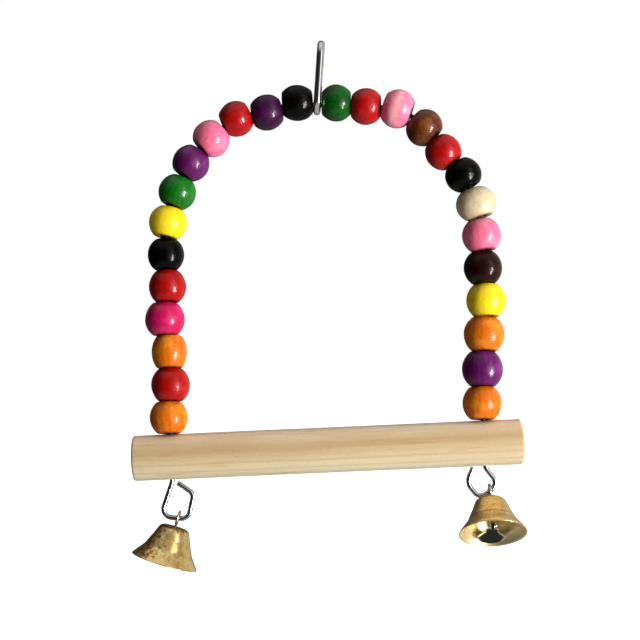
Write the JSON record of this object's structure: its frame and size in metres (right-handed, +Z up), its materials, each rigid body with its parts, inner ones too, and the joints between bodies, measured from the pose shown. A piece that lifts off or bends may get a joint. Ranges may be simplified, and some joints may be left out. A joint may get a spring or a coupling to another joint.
{
  "type": "bird swing",
  "caption": "Bird swing: a round wooden perch in an arch of bent wire strung with coloured wooden beads, a wire hook on top and brass bells hung under the perch ends.",
  "frame": {"origin": "centre of the hook's top bend, where a cage bar carries the swing", "axes": "+Z up, X along the perch, +Y to the back; the front looks to -Y"},
  "size_m": [0.128, 0.027, 0.1705],
  "materials": {
    "perch_wood": "bare sanded softwood",
    "wire_steel": "bright plated steel wire",
    "hook_chrome": "polished chrome",
    "bell_brass": "polished brass with light tarnish",
    "clapper_steel": "stamped steel",
    "bead_orange": "dyed and lacquered wood",
    "bead_red": "dyed and lacquered wood",
    "bead_magenta": "dyed and lacquered wood",
    "bead_black": "dyed and lacquered wood",
    "bead_yellow": "dyed and lacquered wood",
    "bead_green": "dyed and lacquered wood",
    "bead_purple": "dyed and lacquered wood",
    "bead_pink": "dyed and lacquered wood",
    "bead_brown": "dyed and lacquered wood",
    "bead_cream": "dyed and lacquered wood",
    "bead_dark_brown": "dyed and lacquered wood"
  },
  "bodies": {
    "hanger": {"hanger_hook": "hook_chrome"},
    "frame": {"frame_wire": "wire_steel", "perch": "perch_wood"},
    "bell_hook_left": {"bell_hook_left": "wire_steel"},
    "bell_left": {"bell_left": "bell_brass"},
    "clapper_left": {"clapper_left": "clapper_steel"},
    "bell_hook_right": {"bell_hook_right": "wire_steel"},
    "bell_right": {"bell_right": "bell_brass"},
    "clapper_right": {"clapper_right": "clapper_steel"},
    "bead_left_01": {"bead_left_01": "bead_orange"},
    "bead_left_02": {"bead_left_02": "bead_red"},
    "bead_left_03": {"bead_left_03": "bead_orange"},
    "bead_left_04": {"bead_left_04": "bead_magenta"},
    "bead_left_05": {"bead_left_05": "bead_red"},
    "bead_left_06": {"bead_left_06": "bead_black"},
    "bead_left_07": {"bead_left_07": "bead_yellow"},
    "bead_left_08": {"bead_left_08": "bead_green"},
    "bead_left_09": {"bead_left_09": "bead_purple"},
    "bead_left_10": {"bead_left_10": "bead_pink"},
    "bead_left_11": {"bead_left_11": "bead_red"},
    "bead_left_12": {"bead_left_12": "bead_purple"},
    "bead_left_13": {"bead_left_13": "bead_black"},
    "bead_right_01": {"bead_right_01": "bead_green"},
    "bead_right_02": {"bead_right_02": "bead_red"},
    "bead_right_03": {"bead_right_03": "bead_pink"},
    "bead_right_04": {"bead_right_04": "bead_brown"},
    "bead_right_05": {"bead_right_05": "bead_red"},
    "bead_right_06": {"bead_right_06": "bead_black"},
    "bead_right_07": {"bead_right_07": "bead_cream"},
    "bead_right_08": {"bead_right_08": "bead_pink"},
    "bead_right_09": {"bead_right_09": "bead_dark_brown"},
    "bead_right_10": {"bead_right_10": "bead_yellow"},
    "bead_right_11": {"bead_right_11": "bead_orange"},
    "bead_right_12": {"bead_right_12": "bead_purple"},
    "bead_right_13": {"bead_right_13": "bead_orange"}
  },
  "joints": [
    {"name": "frame_swing", "type": "hinge", "parent": "hanger", "child": "frame", "pos_m": [-0.00167, 0, -0.01538], "axis": [0.9974, 0, -0.0726], "range_deg": [-70, 70]},
    {"name": "bell_left_swing", "type": "hinge", "parent": "frame", "child": "bell_hook_left", "pos_m": [-0.05272, 0, -0.14748], "axis": [0.9903, 0, -0.1391], "range_deg": [-70, 80]},
    {"name": "bell_left_spin", "type": "hinge", "parent": "bell_hook_left", "child": "bell_left", "pos_m": [-0.05272, 0, -0.14748], "axis": [0.3326, 0.0854, 0.9392], "continuous": true},
    {"name": "clapper_left_swing", "type": "hinge", "parent": "bell_hook_left", "child": "clapper_left", "pos_m": [-0.05678, -0.00104, -0.15894], "axis": [0.943, -0.0173, -0.3324], "range_deg": [-156, 6]},
    {"name": "bell_right_swing", "type": "hinge", "parent": "frame", "child": "bell_hook_right", "pos_m": [0.04878, 0, -0.14323], "axis": [1, 0, 0], "range_deg": [-43, 107]},
    {"name": "bell_right_spin", "type": "hinge", "parent": "bell_hook_right", "child": "bell_right", "pos_m": [0.04878, 0, -0.14323], "axis": [0.0296, 0.5299, 0.8475], "continuous": true},
    {"name": "clapper_right_swing", "type": "hinge", "parent": "bell_hook_right", "child": "clapper_right", "pos_m": [0.04842, -0.00647, -0.15357], "axis": [0.9996, -0.0157, -0.0251], "range_deg": [-156, 6]},
    {"name": "spin_bead_left_01", "type": "hinge", "parent": "frame", "child": "bead_left_01", "pos_m": [-0.05431, 0, -0.11475], "axis": [0.012, 0.165, 0.9862], "continuous": true},
    {"name": "spin_bead_left_02", "type": "hinge", "parent": "frame", "child": "bead_left_02", "pos_m": [-0.05327, 0, -0.10417], "axis": [0.0172, 0.1736, 0.9847], "continuous": true},
    {"name": "spin_bead_left_03", "type": "hinge", "parent": "frame", "child": "bead_left_03", "pos_m": [-0.05318, 0, -0.09345], "axis": [0.0172, 0.165, 0.9861], "continuous": true},
    {"name": "spin_bead_left_04", "type": "hinge", "parent": "frame", "child": "bead_left_04", "pos_m": [-0.05414, 0, -0.08275], "axis": [0.0173, 0.1478, 0.9889], "continuous": true},
    {"name": "spin_bead_left_05", "type": "hinge", "parent": "frame", "child": "bead_left_05", "pos_m": [-0.05286, 0, -0.07223], "axis": [0.0172, 0.165, 0.9861], "continuous": true},
    {"name": "spin_bead_left_06", "type": "hinge", "parent": "frame", "child": "bead_left_06", "pos_m": [-0.05289, 0, -0.06192], "axis": [0.0517, 0.1564, 0.9863], "continuous": true},
    {"name": "spin_bead_left_07", "type": "hinge", "parent": "frame", "child": "bead_left_07", "pos_m": [-0.05174, 0, -0.05151], "axis": [0.2306, 0.1564, 0.9604], "continuous": true},
    {"name": "spin_bead_left_08", "type": "hinge", "parent": "frame", "child": "bead_left_08", "pos_m": [-0.04831, 0, -0.0417], "axis": [0.4101, 0.1478, 0.9], "continuous": true},
    {"name": "spin_bead_left_09", "type": "hinge", "parent": "frame", "child": "bead_left_09", "pos_m": [-0.04352, 0, -0.03246], "axis": [0.5944, 0.1564, 0.7888], "continuous": true},
    {"name": "spin_bead_left_10", "type": "hinge", "parent": "frame", "child": "bead_left_10", "pos_m": [-0.03656, 0, -0.02479], "axis": [0.7521, 0.1478, 0.6423], "continuous": true},
    {"name": "spin_bead_left_11", "type": "hinge", "parent": "frame", "child": "bead_left_11", "pos_m": [-0.02817, 0, -0.01875], "axis": [0.9077, 0.1132, 0.4041], "continuous": true},
    {"name": "spin_bead_left_12", "type": "hinge", "parent": "frame", "child": "bead_left_12", "pos_m": [-0.01813, 0, -0.01712], "axis": [0.9732, 0.1305, 0.1892], "continuous": true},
    {"name": "spin_bead_left_13", "type": "hinge", "parent": "frame", "child": "bead_left_13", "pos_m": [-0.00822, 0, -0.01445], "axis": [0.9985, 0.0523, 0.0174], "continuous": true},
    {"name": "spin_bead_right_01", "type": "hinge", "parent": "frame", "child": "bead_right_01", "pos_m": [0.00452, 0, -0.01505], "axis": [0.9968, -0.0523, -0.061], "continuous": true},
    {"name": "spin_bead_right_02", "type": "hinge", "parent": "frame", "child": "bead_right_02", "pos_m": [0.0141, 0, -0.01656], "axis": [0.9851, -0.1305, -0.1122], "continuous": true},
    {"name": "spin_bead_right_03", "type": "hinge", "parent": "frame", "child": "bead_right_03", "pos_m": [0.0243, 0, -0.01783], "axis": [0.9261, -0.0958, -0.3648], "continuous": true},
    {"name": "spin_bead_right_04", "type": "hinge", "parent": "frame", "child": "bead_right_04", "pos_m": [0.03272, 0, -0.02431], "axis": [0.7063, -0.1392, -0.6941], "continuous": true},
    {"name": "spin_bead_right_05", "type": "hinge", "parent": "frame", "child": "bead_right_05", "pos_m": [0.03855, 0, -0.03247], "axis": [0.589, -0.1392, -0.796], "continuous": true},
    {"name": "spin_bead_right_06", "type": "hinge", "parent": "frame", "child": "bead_right_06", "pos_m": [0.04475, 0, -0.04018], "axis": [0.487, -0.1478, -0.8608], "continuous": true},
    {"name": "spin_bead_right_07", "type": "hinge", "parent": "frame", "child": "bead_right_07", "pos_m": [0.04841, 0, -0.04973], "axis": [0.2556, -0.1564, -0.954], "continuous": true},
    {"name": "spin_bead_right_08", "type": "hinge", "parent": "frame", "child": "bead_right_08", "pos_m": [0.04979, 0, -0.06011], "axis": [0.0861, -0.1564, -0.9839], "continuous": true},
    {"name": "spin_bead_right_09", "type": "hinge", "parent": "frame", "child": "bead_right_09", "pos_m": [0.04979, 0, -0.07062], "axis": [0.012, -0.165, -0.9862], "continuous": true},
    {"name": "spin_bead_right_10", "type": "hinge", "parent": "frame", "child": "bead_right_10", "pos_m": [0.05034, 0, -0.08128], "axis": [-0.0361, -0.165, -0.9856], "continuous": true},
    {"name": "spin_bead_right_11", "type": "hinge", "parent": "frame", "child": "bead_right_11", "pos_m": [0.04923, 0, -0.09223], "axis": [-0.0618, -0.1736, -0.9829], "continuous": true},
    {"name": "spin_bead_right_12", "type": "hinge", "parent": "frame", "child": "bead_right_12", "pos_m": [0.04822, 0, -0.10343], "axis": [-0.0618, -0.1736, -0.9829], "continuous": true},
    {"name": "spin_bead_right_13", "type": "hinge", "parent": "frame", "child": "bead_right_13", "pos_m": [0.04757, 0, -0.11452], "axis": [-0.0413, -0.165, -0.9854], "continuous": true}
  ]
}
